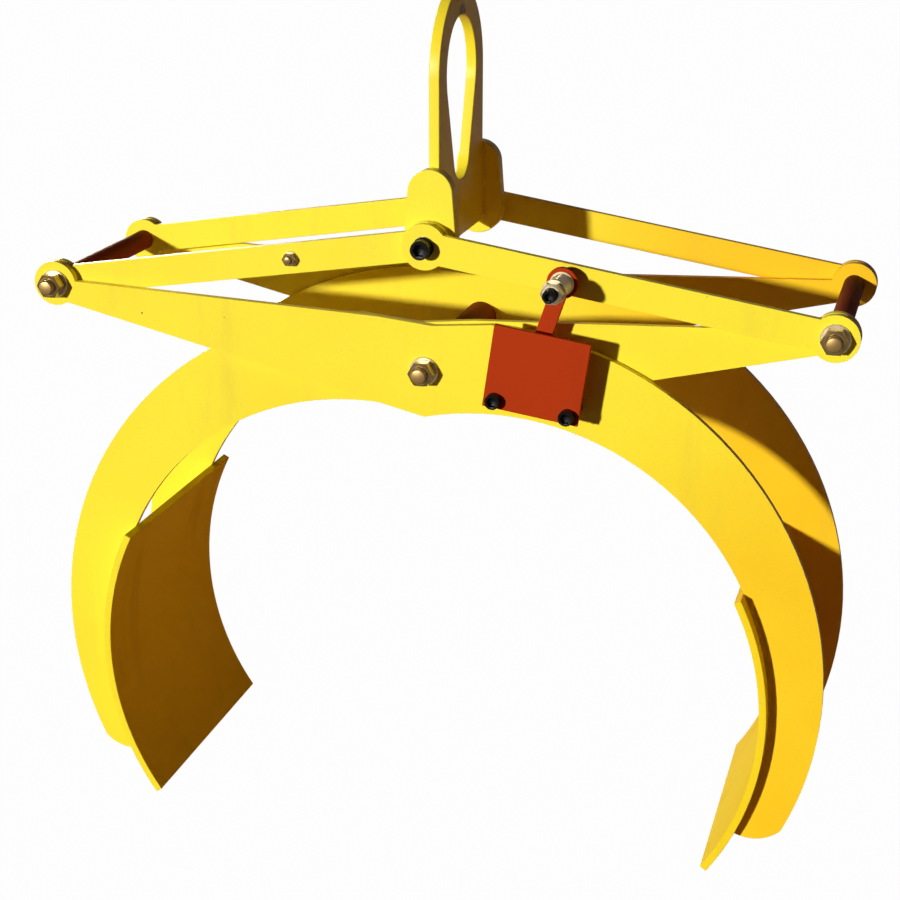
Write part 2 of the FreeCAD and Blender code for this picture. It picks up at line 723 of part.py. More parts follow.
def latch_rod():
    """Flat rod with a round eye and, in its right edge, a notch for the catch pin."""
    body = new_body("latch_rod")
    half = "Sizes.rod_width / 2"
    bar = new_sketch(body, "Bar", "XZ_Plane")
    foot = f"-({CATCH_ALONG} + Sizes.rod_tail)"
    draw_outline(bar, [(f"-{half}", foot), (half, foot), (half, "0"), (f"-{half}", "0")], {})
    pad(body, bar, "BarPlate", "Sizes.rod_thickness")
    eye = new_sketch(body, "Eye", "XZ_Plane")
    draw_circles(eye, [("0", "0", "Sizes.rod_eye_diameter")])
    pad(body, eye, "EyePlate", "Sizes.rod_thickness")
    cos_swing = "cos(Sizes.catch_swing * 1 deg)"
    sin_swing = "sin(Sizes.catch_swing * 1 deg)"
    notch_x = f"({CATCH_SIDE} * {cos_swing} - {CATCH_ALONG} * {sin_swing})"
    notch_z = f"(-{CATCH_SIDE} * {sin_swing} - {CATCH_ALONG} * {cos_swing})"
    notch = "(Sizes.catch_diameter + 2 * Sizes.catch_side_gap)"
    drill(body, "Bore", [("0", "0", LATCH_BORE), (notch_x, notch_z, notch)])
    turn(body, ABOUT_Y, ROD_LEAN)
    return locate(body, LATCH_X, f"-({ROD_BACK} + Sizes.rod_thickness / 2)", LATCH_Z)


# Guard: a flat plate on two standoffs that keeps hands off the latch

COS_TILT = "cos(Sizes.guard_tilt * 1 deg)"
SIN_TILT = "sin(Sizes.guard_tilt * 1 deg)"
GUARD_BACK = f"({OUTER_FACE} + Sizes.guard_standoff)"
GUARD_FACE = f"({GUARD_BACK} + Sizes.guard_thickness)"


def guard_point(across, up):
    """Turn a place on the guard into a place measured from the main pivot."""
    x = f"(Sizes.guard_centre_x + ({across}) * {COS_TILT} + ({up}) * {SIN_TILT})"
    z = f"(Sizes.guard_centre_rise - ({across}) * {SIN_TILT} + ({up}) * {COS_TILT})"
    return x, z


GUARD_SCREWS = [
    ("-Sizes.guard_screw_spacing / 2", "-Sizes.guard_screw_drop"),
    ("Sizes.guard_screw_spacing / 2", "-Sizes.guard_screw_drop"),
]


def guard_plate():
    """Flat guard plate, tilted with the arm."""
    half_width = "Sizes.guard_width / 2"
    half_height = "Sizes.guard_height / 2"
    corners = [(f"-{half_width}", f"-{half_height}"), (half_width, f"-{half_height}"),
               (half_width, half_height), (f"-{half_width}", half_height)]
    body = outline_plate("guard_plate", corners, {}, "Sizes.guard_thickness")
    drill(body, "ScrewHoles", [(across, up, "Sizes.guard_screw_diameter") for across, up in GUARD_SCREWS])
    turn(body, ABOUT_Y, "Sizes.guard_tilt")
    return locate(body, "Sizes.guard_centre_x", f"-({GUARD_BACK} + Sizes.guard_thickness / 2)",
                  f"({MAIN_Z} + Sizes.guard_centre_rise)")


def guard_fixings():
    """Standoff tubes and the black cap screws that run through them into the arm."""
    tubes = []
    screws = []
    for index, place in enumerate(GUARD_SCREWS):
        x, z = guard_point(*place)
        height = f"({MAIN_Z} + {z})"
        tube = ring(f"Standoff{index}", "Sizes.standoff_diameter", "Sizes.guard_screw_diameter",
                    "Sizes.guard_standoff")
        tubes.append(along_y(tube, FRONT, x, f"-{OUTER_FACE}", height))
        screw = socket_screw(f"GuardScrew{index}", "Sizes.guard_screw_head_diameter",
                             "Sizes.guard_screw_diameter", "Sizes.guard_screw_socket_flats",
                             "Sizes.guard_screw_socket_depth",
                             [("Sizes.guard_screw_diameter", f"({GUARD_FACE} - {OUTER_BACK})")])
        screws.append(along_y(screw, FRONT, x, f"-{GUARD_FACE}", height))
    return [group("guard_standoffs", tubes), group("guard_screws", screws)]


def catch_pin():
    """Pin set into the arm plate that the latch rod hooks and the guard rests on."""
    pin = rod("catch_pin", "Sizes.catch_diameter", f"({GUARD_BACK} - {OUTER_BACK})")
    height = f"({MAIN_Z} + Sizes.catch_rise)"
    return named(along_y(pin, FRONT, "Sizes.catch_x", f"-{OUTER_BACK}", height), "catch_pin")


# Assembly

CORNER_X = SPAN
LATCH_HOLE = ("Sizes.latch_distance", "0", "Sizes.latch_pin_diameter")
STOP_HOLE = ("Sizes.stop_distance", "0", "Sizes.stop_diameter")
ARM_HOLES = [("Sizes.catch_x", "Sizes.catch_rise", "Sizes.catch_diameter")]
ARM_HOLES += [(*guard_point(*place), "Sizes.guard_screw_diameter") for place in GUARD_SCREWS]

keep(bail_plate())
keep(head_lug("front_lug", FRONT), head_lug("rear_lug", REAR))
keep(group("head_screws", [head_screw("HeadScrewFront", FRONT), head_screw("HeadScrewRear", REAR)]))
keep(paired("head_collars", head_collar, OUTER_FACE, "0", HEAD_Z))
keep(paired("lug_thrust_washers", thrust_washer, LUG_FACE, "0", HEAD_Z))
keep(paired("head_thrust_washers", thrust_washer, INNER_FRONT, "0", HEAD_Z))

keep(left_link("left_link_front", FRONT, [STOP_HOLE]), left_link("left_link_rear", REAR, []))
keep(bush_set("left_link_bushes", INNER_FACE, [("0", HEAD_Z), (f"-{CORNER_X}", CORNER_Z)]))
keep(*stop_parts())

keep(right_link("right_link_front", FRONT, [LATCH_HOLE]), right_link("right_link_rear", REAR, []))
keep(bush_set("right_link_bushes", OUTER_BACK, [("0", HEAD_Z)]))
keep(*pivot_set("right_corner", "Sizes.corner_spacer_diameter", CORNER_X, CORNER_Z))
keep(*latch_pin_parts())

keep(arm_plate("right_jaw_arm_front", FRONT, OUTER_MID, "Sizes.pivot_diameter",
               "Sizes.pivot_diameter", ARM_HOLES, False))
keep(arm_plate("right_jaw_arm_rear", REAR, OUTER_MID, "Sizes.pivot_diameter",
               "Sizes.pivot_diameter", [], False))
keep(jaw_pad("right_jaw_pad", False))
keep(*pivot_set("left_corner", "Sizes.corner_spacer_diameter", f"-{CORNER_X}", CORNER_Z))
keep(*pivot_set("main", "Sizes.main_spacer_diameter", "0", MAIN_Z))
keep(guard_plate(), *guard_fixings(), catch_pin())

keep(arm_plate("left_jaw_arm_front", FRONT, INNER_MID, BUSH_DIAMETER, BUSH_DIAMETER, [], True))
keep(arm_plate("left_jaw_arm_rear", REAR, INNER_MID, BUSH_DIAMETER, BUSH_DIAMETER, [], True))
keep(jaw_pad("left_jaw_pad", True))
keep(bush_set("left_jaw_arm_bushes", INNER_FACE, [("0", MAIN_Z), (CORNER_X, CORNER_Z)]))

keep(latch_rod())

doc.recompute()

for item in doc.Objects:
    if "Invalid" in item.State or "Error" in item.State:
        raise RuntimeError(f"{item.Label} failed: {item.State}")
for node in nodes:
    if node.Shape.isNull() or not node.Shape.isValid():
        raise RuntimeError(f"{node.Label} has no valid shape")

os.makedirs("parts", exist_ok=True)
for node in nodes:
    node.Shape.exportStep(f"parts/{node.Label}.step")
print(f"{len(nodes)} sub-parts written")
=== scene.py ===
"""Dresses the pipe lifting clamp: rounded plates, threaded fasteners, welds and worn paint."""

import json
import logging
import math
from collections.abc import Callable, Sequence
from dataclasses import dataclass, field
from enum import Enum
from typing import Union

import bmesh
import bpy
from mathutils import Matrix, Vector

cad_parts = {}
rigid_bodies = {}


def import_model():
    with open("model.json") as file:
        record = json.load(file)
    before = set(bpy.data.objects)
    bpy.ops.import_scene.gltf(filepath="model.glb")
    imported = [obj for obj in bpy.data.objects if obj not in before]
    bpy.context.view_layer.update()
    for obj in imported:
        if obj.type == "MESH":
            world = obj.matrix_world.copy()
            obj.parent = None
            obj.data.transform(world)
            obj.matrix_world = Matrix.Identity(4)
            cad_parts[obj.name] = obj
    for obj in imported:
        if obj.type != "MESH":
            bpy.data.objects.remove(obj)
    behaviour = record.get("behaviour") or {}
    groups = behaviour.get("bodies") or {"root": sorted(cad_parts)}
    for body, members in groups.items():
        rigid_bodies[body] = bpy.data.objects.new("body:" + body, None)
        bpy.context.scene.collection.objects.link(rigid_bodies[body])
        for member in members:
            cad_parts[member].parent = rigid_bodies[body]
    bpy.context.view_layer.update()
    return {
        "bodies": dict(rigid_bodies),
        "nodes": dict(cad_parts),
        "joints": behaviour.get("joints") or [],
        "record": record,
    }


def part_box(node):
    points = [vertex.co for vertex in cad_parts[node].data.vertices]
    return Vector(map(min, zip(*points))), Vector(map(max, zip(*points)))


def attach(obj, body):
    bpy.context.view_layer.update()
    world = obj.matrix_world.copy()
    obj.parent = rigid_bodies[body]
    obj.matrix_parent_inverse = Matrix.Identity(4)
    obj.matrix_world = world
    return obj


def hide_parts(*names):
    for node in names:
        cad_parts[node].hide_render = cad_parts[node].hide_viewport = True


LOG = logging.getLogger("pipe_lifting_clamp")

Colour = tuple[float, float, float]
Point = tuple[float, float, float]
Input = Union["Signal", bpy.types.NodeSocket, Colour, float]


def mm(length: float) -> float:
    """Turn millimetres into metres."""
    return length / 1000.0


# Shader maths


@dataclass(frozen=True)
class Signal:
    """A number that varies over a surface, as the output of a shader node."""

    graph: "Sheet"
    socket: bpy.types.NodeSocket

    def combine(self, operation: str, first: Input, second: Input = 0.0) -> "Signal":
        """Join two values with a Math node.

        Args:
            operation: The Math node's operation.
            first: The left value.
            second: The right value.

        Returns:
            The node's result.
        """
        made = self.graph.add("ShaderNodeMath", {"operation": operation}, {0: first, 1: second})
        return Signal(self.graph, made.outputs[0])

    def __add__(self, other: Input) -> "Signal":
        """Add."""
        return self.combine("ADD", self, other)

    def __radd__(self, other: Input) -> "Signal":
        """Add from the left."""
        return self.combine("ADD", other, self)

    def __sub__(self, other: Input) -> "Signal":
        """Subtract."""
        return self.combine("SUBTRACT", self, other)

    def __rsub__(self, other: Input) -> "Signal":
        """Subtract from a value."""
        return self.combine("SUBTRACT", other, self)

    def __mul__(self, other: Input) -> "Signal":
        """Multiply."""
        return self.combine("MULTIPLY", self, other)

    def __rmul__(self, other: Input) -> "Signal":
        """Multiply from the left."""
        return self.combine("MULTIPLY", other, self)

    def above(self, low: float, high: float) -> "Signal":
        """Rise smoothly from 0 at low to 1 at high.

        Args:
            low: The value that gives 0.
            high: The value that gives 1.

        Returns:
            The mask.
        """
        made = self.graph.add(
            "ShaderNodeMapRange",
            {"interpolation_type": "SMOOTHSTEP", "clamp": True},
            {"Value": self, "From Min": low, "From Max": high},
        )
        return Signal(self.graph, made.outputs["Result"])

    def larger(self, other: Input) -> "Signal":
        """Take the larger of two values."""
        return self.combine("MAXIMUM", self, other)


class Sheet:
    """A node tree that is filled one node at a time."""

    def __init__(self, tree: bpy.types.NodeTree) -> None:
        """Empty the tree.

        Args:
            tree: The node tree to fill.
        """
        self.tree = tree
        self.tree.nodes.clear()

    def add(self, kind: str, settings: dict | None = None, inputs: dict | None = None) -> bpy.types.Node:
        """Add a node.

        Args:
            kind: The node's type.
            settings: Its properties, set first.
            inputs: Values or links of its sockets, by name or index.

        Returns:
            The node.
        """
        made = self.tree.nodes.new(kind)
        for key, setting in (settings or {}).items():
            setattr(made, key, setting)
        for key, given in (inputs or {}).items():
            self.feed(made.inputs[key], given)
        return made

    def feed(self, socket: bpy.types.NodeSocket, given: Input) -> None:
        """Link or set one socket.

        Args:
            socket: The socket to fill.
            given: A signal, another node's socket, a number or a colour.
        """
        if isinstance(given, Signal):
            given = given.socket
        if isinstance(given, bpy.types.NodeSocket):
            self.tree.links.new(given, socket)
        elif isinstance(given, tuple) and len(given) == 3 and socket.type == "RGBA":
            socket.default_value = (*given, 1.0)
        else:
            socket.default_value = given

    def blend(self, share: Input, under: Input, over: Input) -> bpy.types.NodeSocket:
        """Mix two colours.

        Args:
            share: How much of the second colour, from 0 to 1.
            under: The first colour.
            over: The second colour.

        Returns:
            The mixed colour's socket.
        """
        made = self.add("ShaderNodeMix", {"data_type": "RGBA"})
        self.feed(made.inputs["Factor"], share)
        self.feed([item for item in made.inputs if item.name == "A" and item.type == "RGBA"][0], under)
        self.feed([item for item in made.inputs if item.name == "B" and item.type == "RGBA"][0], over)
        return [item for item in made.outputs if item.type == "RGBA"][0]

    def seen(self, mirrored: float) -> Signal:
        """Mask the rays that show a background, and part of the mirrored ones.

        Args:
            mirrored: The share that mirrored rays get.

        Returns:
            The mask.
        """
        path = self.add("ShaderNodeLightPath")
        glossy = Signal(self, path.outputs["Is Glossy Ray"]) * mirrored
        direct = Signal(self, path.outputs["Is Camera Ray"]).larger(path.outputs["Is Transmission Ray"])
        return direct.larger(glossy)


NOISE_ROUGHNESS = 0.6


class Graph(Sheet):
    """The node tree of one material."""

    def __init__(self, name: str) -> None:
        """Start a material with one Principled shader.

        Args:
            name: The material's name.
        """
        self.material = bpy.data.materials.new(name)
        self.material.use_nodes = True
        super().__init__(self.material.node_tree)
        self.shader = self.add("ShaderNodeBsdfPrincipled")
        self.output = self.add("ShaderNodeOutputMaterial", inputs={"Surface": self.shader.outputs["BSDF"]})
        self.place = self.add("ShaderNodeTexCoord").outputs["Object"]

    def along(self, axis: str) -> Signal:
        """Read the place along one axis, X, Y or Z, in metres."""
        return Signal(self, self.add("ShaderNodeSeparateXYZ", inputs={0: self.place}).outputs[axis])

    def noise(self, scale: float, detail: float = 4.0, stretch: Point = (1.0, 1.0, 1.0)) -> Signal:
        """Make cloudy noise on the object's own coordinates.

        Args:
            scale: Cells per metre.
            detail: Octaves.
            stretch: How much to compress the pattern along each axis.

        Returns:
            The noise, from 0 to 1.
        """
        mapped = self.add("ShaderNodeMapping", inputs={"Vector": self.place, "Scale": stretch})
        made = self.add(
            "ShaderNodeTexNoise",
            inputs={"Vector": mapped.outputs["Vector"], "Scale": scale, "Detail": detail,
                    "Roughness": NOISE_ROUGHNESS},
        )
        return Signal(self, made.outputs["Fac"])

    def mark(self, name: str) -> Signal:
        """Read a number that a piece stores on its own faces."""
        made = self.add("ShaderNodeAttribute", {"attribute_type": "GEOMETRY", "attribute_name": name})
        return Signal(self, made.outputs["Fac"])

    def distance(self, centre: Vector) -> Signal:
        """Measure how far each point is from a centre, in metres."""
        made = self.add("ShaderNodeVectorMath", {"operation": "DISTANCE"},
                        {0: self.place, 1: tuple(centre)})
        return Signal(self, made.outputs["Value"])

    def relief(self, height: Signal, strength: float, depth: float) -> None:
        """Raise or sink the surface a little.

        Args:
            height: The relief, from 0 to 1.
            strength: How strongly it shows.
            depth: Its depth in metres.
        """
        bump = self.add("ShaderNodeBump", inputs={"Strength": strength, "Distance": depth, "Height": height})
        self.feed(self.shader.inputs["Normal"], bump.outputs["Normal"])

    def dress(self, **sockets: Input) -> bpy.types.Material:
        """Fill the Principled shader's sockets and return the material.

        Args:
            **sockets: Values by socket name, with underscores for spaces.

        Returns:
            The finished material.
        """
        for name, given in sockets.items():
            self.feed(self.shader.inputs[name.replace("_", " ").title().replace("Ior", "IOR")], given)
        return self.material


EDGE_MARK = "worn_edge"
# Shares of painted shade: how far the paint darkens towards the lower right and towards the rear right.
LOW_PAINTED_SHADE = 0.62
REAR_PAINTED_SHADE = 0.75
EDGE_WEAR = 0.7


@dataclass(frozen=True)
class Enamel:
    """Brushed or sprayed enamel on steel, with grime, chips, worn edges and painted shade at the lower right
    and the rear right.
    """

    name: str
    colour: Colour
    # The darker second colour: random deeper tone, and painted shade at the lower right and the rear right.
    deep_tone_and_shade: Colour
    grime: Colour
    bare: Colour
    roughness: float = 0.34
    chips: float = 0.745
    sheen: float = 0.2
    polished_at: tuple[Vector, float] | None = None

    def make(self) -> bpy.types.Material:
        """Build the material.

        Returns:
            The material.
        """
        graph = Graph(self.name)
        tone = graph.noise(2.6, 3.0).above(0.35, 0.72)
        streaks = graph.noise(14.0, 5.0, (1.0, 1.0, 0.18)).above(0.52, 0.78)
        fine = graph.noise(240.0, 3.0)
        worn = self.wear(graph)
        # Random tone, plus painted shade towards the lower right and the rear right.
        painted = graph.blend(tone * 0.2 + self.shade(graph), self.colour, self.deep_tone_and_shade)
        dirty = graph.blend(streaks * 0.16 + fine.above(0.5, 0.8) * 0.12, painted, self.grime)
        surface = graph.blend(worn, dirty, self.bare)
        graph.relief(graph.noise(90.0, 3.0) * 0.5 + fine * 0.12 - worn * 0.6, 0.22, mm(0.6))
        return graph.dress(
            base_color=surface,
            roughness=self.roughness + streaks * 0.18 + worn * 0.16 + fine * 0.05,
            metallic=worn * 0.25,
            specular_ior_level=self.sheen,
        )

    def wear(self, graph: Graph) -> Signal:
        """Mask the chips, the rubbed edges and a polished place.

        Args:
            graph: The material's nodes.

        Returns:
            The mask, 1 where the paint is gone.
        """
        chipped = graph.noise(46.0, 8.0).above(self.chips, self.chips + 0.02)
        rubbed = graph.mark(EDGE_MARK) * graph.noise(33.0, 6.0).above(0.48, 0.62)
        worn = chipped.larger(rubbed * EDGE_WEAR)
        if not self.polished_at:
            return worn
        centre, reach = self.polished_at
        near = 1.0 - graph.distance(centre).above(reach * 0.55, reach)
        return worn.larger(near * graph.noise(60.0, 5.0).above(0.25, 0.5))

    def shade(self, graph: Graph) -> Signal:
        """Mask the lower right and the rear right, where painted shade darkens the paint.

        Args:
            graph: The material's nodes.

        Returns:
            The mask.
        """
        right = graph.along("X")
        # Painted shade: darker low down at the right, and darker at the rear right.
        low = (0.0 - graph.along("Z")).above(0.45, 0.85) * right.above(0.05, 0.6) * LOW_PAINTED_SHADE
        rear = graph.along("Y").above(0.0, 0.15) * right.above(0.02, 0.42) * REAR_PAINTED_SHADE
        return low.larger(rear)


@dataclass(frozen=True)
class PlainMetal:
    """Bare, plated or blackened metal with handling marks."""

    name: str
    colour: Colour
    stain: Colour
    roughness: float
    metallic: float = 1.0
    stain_share: float = 0.5
    sheen: float = 0.5

    def make(self) -> bpy.types.Material:
        """Build the material.

        Returns:
            The material.
        """
        graph = Graph(self.name)
        cloud = graph.noise(70.0, 6.0).above(0.42, 0.72)
        spots = graph.noise(260.0, 4.0).above(0.60, 0.72)
        stained = (cloud * self.stain_share).larger(spots * self.stain_share)
        graph.relief(graph.noise(420.0, 3.0), 0.12, mm(0.3))
        return graph.dress(
            base_color=graph.blend(stained, self.colour, self.stain),
            roughness=self.roughness + stained * 0.2,
            metallic=self.metallic - stained * 0.25 * self.metallic,
            specular_ior_level=self.sheen,
        )


FRESH_YELLOW = (0.97, 0.81, 0.034)
# Darker yellow, used for random tone and for painted shade.
DEEP_AND_SHADED_YELLOW = (0.94, 0.52, 0.006)
YELLOW_GRIME = (0.42, 0.24, 0.02)
CROWN = (Vector((0.0, 0.0, 0.0)), 0.026)


class Finish(Enum):
    """The finishes of the clamp."""

    # Each enamel's second colour carries its random deeper tone and its painted shade.
    YELLOW = Enamel("yellow_enamel", FRESH_YELLOW, DEEP_AND_SHADED_YELLOW, YELLOW_GRIME, (0.10, 0.05, 0.015))
    BAIL = Enamel("bail_enamel", FRESH_YELLOW, DEEP_AND_SHADED_YELLOW, YELLOW_GRIME, (0.30, 0.20, 0.09),
                  polished_at=CROWN)
    PAD = Enamel("pad_enamel", (0.96, 0.78, 0.030), (0.93, 0.62, 0.010), (0.34, 0.17, 0.02),
                 (0.12, 0.06, 0.02), roughness=0.62, chips=0.77, sheen=0.04)
    RED = Enamel("red_enamel", (0.43, 0.036, 0.0026), (0.39, 0.030, 0.0026), (0.20, 0.026, 0.005),
                 (0.62, 0.26, 0.10), roughness=0.55, chips=0.76, sheen=0.05)
    BROWN = Enamel("brown_primer", (0.24, 0.036, 0.005), (0.13, 0.022, 0.004), (0.06, 0.016, 0.004),
                   (0.22, 0.10, 0.04), roughness=0.6, chips=0.72, sheen=0.04)
    ZINC = PlainMetal("zinc_plate", (0.44, 0.31, 0.12), (0.15, 0.08, 0.025), 0.22, metallic=0.95)
    BOLT = PlainMetal("bolt_steel", (0.46, 0.29, 0.10), (0.15, 0.08, 0.03), 0.32, metallic=0.9)
    STEEL = PlainMetal("washer_steel", (0.78, 0.66, 0.42), (0.26, 0.15, 0.06), 0.34, metallic=0.85)
    BLACK = PlainMetal("black_oxide", (0.005, 0.004, 0.004), (0.014, 0.010, 0.008), 0.34, metallic=0.1,
                       sheen=0.12)
    BRONZE = PlainMetal("sintered_bronze", (0.62, 0.38, 0.16), (0.30, 0.17, 0.07), 0.42)
    WELD = Enamel("weld_enamel", (0.94, 0.72, 0.026), (0.86, 0.54, 0.010), (0.30, 0.15, 0.02),
                  (0.10, 0.05, 0.015), roughness=0.5, chips=0.74, sheen=0.1)


class Paintshop:
    """Makes each finish once and hands it out."""

    def __init__(self) -> None:
        """Start with no materials made."""
        self.made: dict[Finish, bpy.types.Material] = {}

    def get(self, finish: Finish) -> bpy.types.Material:
        """Give the material of a finish, made when it is first asked for.

        Args:
            finish: The finish.

        Returns:
            Its material.
        """
        if finish not in self.made:
            self.made[finish] = finish.value.make()
        return self.made[finish]


# Shapes grown from rings


class Section(Enum):
    """The outline of a ring of points."""

    ROUND = "round"
    HEXAGON = "hexagon"
    KNURLED = "knurled"


SEGMENTS = 72
FULL_TURN = 2 * math.pi
KNURL_DEPTH = mm(0.3)
TIP = 1e-6
CHAMFER = math.tan(math.radians(30))


@dataclass(frozen=True)
class Hoop:
    """One ring of points round an axis along Y.

    y is its place along the axis, and radius its radius, or half the width across flats.
    fall tips a hexagon's corners along the axis as a 30 degree chamfer does.
    """

    y: float
    radius: float
    section: Section = Section.ROUND
    fall: float = 0.0

    def point(self, angle: float) -> tuple[float, float]:
        """Give the radius and the place along the axis at an angle.

        Args:
            angle: The angle round the axis.

        Returns:
            The radius and y.
        """
        if self.section is Section.ROUND:
            return max(self.radius, TIP), self.y
        if self.section is Section.KNURLED:
            column = round(angle * SEGMENTS / FULL_TURN)
            return self.radius - (KNURL_DEPTH if column % 2 else 0.0), self.y
        sixth = math.pi / 3
        reach = self.radius / math.cos((angle % sixth) - sixth / 2)
        return reach, self.y + self.fall * (reach - self.radius) * CHAMFER

    def spot(self, x: float, z: float, angle: float) -> Vector:
        """Give a point of the ring.

        Args:
            x: The axis's x.
            z: The axis's z.
            angle: The angle round the axis.

        Returns:
            The point.
        """
        reach, y = self.point(angle)
        return Vector((x + reach * math.cos(angle), y, z + reach * math.sin(angle)))


class Skin:
    """A skin that starts as a circle and grows ring by ring."""

    def __init__(self, mesh: bmesh.types.BMesh, count: int) -> None:
        """Make the first ring.

        Args:
            mesh: The mesh to add to.
            count: Points in each ring.
        """
        self.mesh = mesh
        first = bmesh.ops.create_circle(mesh, segments=count, radius=1.0)["verts"]
        self.ring = {vert: math.atan2(vert.co.y, vert.co.x) % FULL_TURN for vert in first}
        self.edges = list({edge for vert in first for edge in vert.link_edges})

    def grow(self) -> None:
        """Extrude the last ring, and keep each point's angle."""
        made = bmesh.ops.extrude_edge_only(self.mesh, edges=self.edges)["geom"]
        fresh = {item for item in made if isinstance(item, bmesh.types.BMVert)}
        old, self.ring = self.ring, {}
        for vert in fresh:
            twin = next(edge.other_vert(vert) for edge in vert.link_edges if edge.other_vert(vert) in old)
            self.ring[vert] = old[twin]
        self.edges = [item for item in made if isinstance(item, bmesh.types.BMEdge)
                      and item.verts[0] in fresh and item.verts[1] in fresh]

    def settle(self, spot: Callable[[float], Vector]) -> None:
        """Move the last ring's points to the spots of their angles."""
        for vert, angle in self.ring.items():
            vert.co = spot(angle)


MERGE_DISTANCE = 1e-6
FLAT_ANGLE = math.radians(0.5)
CORNER_ANGLE = math.radians(35)
TURNED_SMOOTH = math.radians(30)
PLATE_SMOOTH = math.radians(60)


def put(name: str, data: bpy.types.ID) -> bpy.types.Object:
    """Add an object to the scene.

    Args:
        name: Its name.
        data: Its mesh, lamp or camera.

    Returns:
        The object.
    """
    made = bpy.data.objects.new(name, data)
    bpy.context.scene.collection.objects.link(made)
    return made


class Workshop:
    """Makes meshes and hands each to the CAD body that carries it."""

    def __init__(self, frame: dict) -> None:
        """Look up each node's body and slot.

        Args:
            frame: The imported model.
        """
        self.frame = frame
        self.paint = Paintshop()
        record = frame["record"]
        self.slots = {row["node"]: row["material_slot"] for row in record["subparts"]}
        bodies = record["behaviour"]["bodies"]
        self.bodies = {node: body for body, names in bodies.items() for node in names}
        self.dressed: set[str] = set()

    def centre(self, node: str) -> tuple[float, float]:
        """Give the x and z of a node's middle."""
        low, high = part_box(node)
        return (low.x + high.x) / 2, (low.z + high.z) / 2

    def hoops(self, mesh: bmesh.types.BMesh, x: float, z: float, hoops: Sequence[Hoop]) -> None:
        """Join a row of hoops round the axis at x, z into a skin.

        Args:
            mesh: The mesh to add to.
            x: The axis's x.
            z: The axis's z.
            hoops: The hoops in order.
        """
        skin = Skin(mesh, SEGMENTS)
        for number, hoop in enumerate(hoops):
            if number:
                skin.grow()
            skin.settle(lambda angle: hoop.spot(x, z, angle))

    def sweep(self, mesh: bmesh.types.BMesh, path: Sequence[Vector], radius: Callable[[int], float],
              side: Vector, sides: int = 10) -> None:
        """Carry a circle along a path.

        Args:
            mesh: The mesh to add to.
            path: The points to pass through.
            radius: The radius at each step of the path.
            side: A direction that is never along the path.
            sides: Points in the circle.
        """
        skin = Skin(mesh, sides)
        for step, point in enumerate(path):
            ahead = path[min(step + 1, len(path) - 1)] - path[max(step - 1, 0)]
            across = ahead.cross(side).normalized() * radius(step)
            up = across.cross(ahead).normalized() * radius(step)
            if step:
                skin.grow()
            skin.settle(lambda angle: point + across * math.cos(angle) + up * math.sin(angle))

    def turned(self, node: str, ending: str, finish: Finish, rows: Sequence[Sequence[Hoop]],
               places: Sequence[tuple[float, float]] = ()) -> None:
        """Replace a node by skins of hoops.

        Args:
            node: The node.
            ending: What the piece's name adds to the node's.
            finish: The piece's finish.
            rows: The hoops of each skin.
            places: The x and z of each axis, or none for the node's own middle.
        """
        mesh = bmesh.new()
        for x, z in places or [self.centre(node)]:
            for hoops in rows:
                self.hoops(mesh, x, z, hoops)
        self.deliver(f"{node}_{ending}", mesh, finish, node)

    def bolt(self, node: str, finish: Finish, bolt: "Bolt") -> None:
        """Replace a bolt by a threaded one."""
        low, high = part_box(node)
        self.turned(node, "threaded", finish, [bolt.hoops(low.y, high.y)])

    def nut(self, node: str, finish: Finish, bolt: "Bolt") -> None:
        """Replace a nut by a chamfered one that fits a bolt."""
        low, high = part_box(node)
        self.turned(node, "chamfered", finish, [nut_hoops(low.y, high.y, bolt.flats, bolt.shank)])

    def tube(self, node: str, ending: str, finish: Finish, bore: float, ease: float,
             axis: str | None = None) -> None:
        """Replace a tube or one washer by one with eased corners.

        Args:
            node: The node.
            ending: What the piece's name adds to the node's.
            finish: The piece's finish.
            bore: The radius of its hole.
            ease: The size of its corner chamfers.
            axis: The node that it sits on, or None to keep to its own middle.
        """
        low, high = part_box(node)
        rows = [sleeve(low.y, high.y, (high.x - low.x) / 2, bore, ease)]
        self.turned(node, ending, finish, rows, [self.centre(axis or node)])

    def washers(self, node: str, finish: Finish, thick: float, bore: float, ease: float,
                axis: str | None = None) -> None:
        """Replace two washers, one at the front and one at the rear, by ones with eased corners.

        Args:
            node: The node.
            finish: The piece's finish.
            thick: The thickness of each.
            bore: The radius of their holes.
            ease: The size of their corner chamfers.
            axis: The node that they are in line with, or None to keep to their own middle.
        """
        low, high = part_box(node)
        outer = (high.x - low.x) / 2
        rows = [sleeve(start, start + thick, outer, bore, ease) for start in (low.y, high.y - thick)]
        self.turned(node, "eased", finish, rows, [self.centre(axis or node)])

    def deliver(self, name: str, mesh: bmesh.types.BMesh, finish: Finish, node: str,
                replaces: bool = True, smooth: float = TURNED_SMOOTH) -> bpy.types.Object:
        """Turn a mesh into a finished piece that rides with a node's body.

        Args:
            name: The piece's name.
            mesh: Its mesh, used up here.
            finish: Its finish.
            node: The node whose body carries it.
            replaces: Whether the piece stands for the node.
            smooth: The angle above which an edge stays sharp.

        Returns:
            The piece.
        """
        bmesh.ops.remove_doubles(mesh, verts=mesh.verts, dist=MERGE_DISTANCE)
        holes = [edge for edge in mesh.edges if edge.is_boundary]
        if holes:
            bmesh.ops.holes_fill(mesh, edges=holes, sides=0)
        bmesh.ops.recalc_face_normals(mesh, faces=mesh.faces)
        for face in mesh.faces:
            face.smooth = True
        for edge in mesh.edges:
            if len(edge.link_faces) == 2 and edge.calc_face_angle(0.0) > smooth:
                edge.smooth = False
        data = bpy.data.meshes.new(name)
        mesh.to_mesh(data)
        mesh.free()
        piece = put(name, data)
        piece.data.materials.append(self.paint.get(finish))
        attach(piece, self.bodies[node])
        if replaces:
            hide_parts(node)
            self.dressed.add(node)
        LOG.info("%s rides on %s", name, self.bodies[node])
        return piece

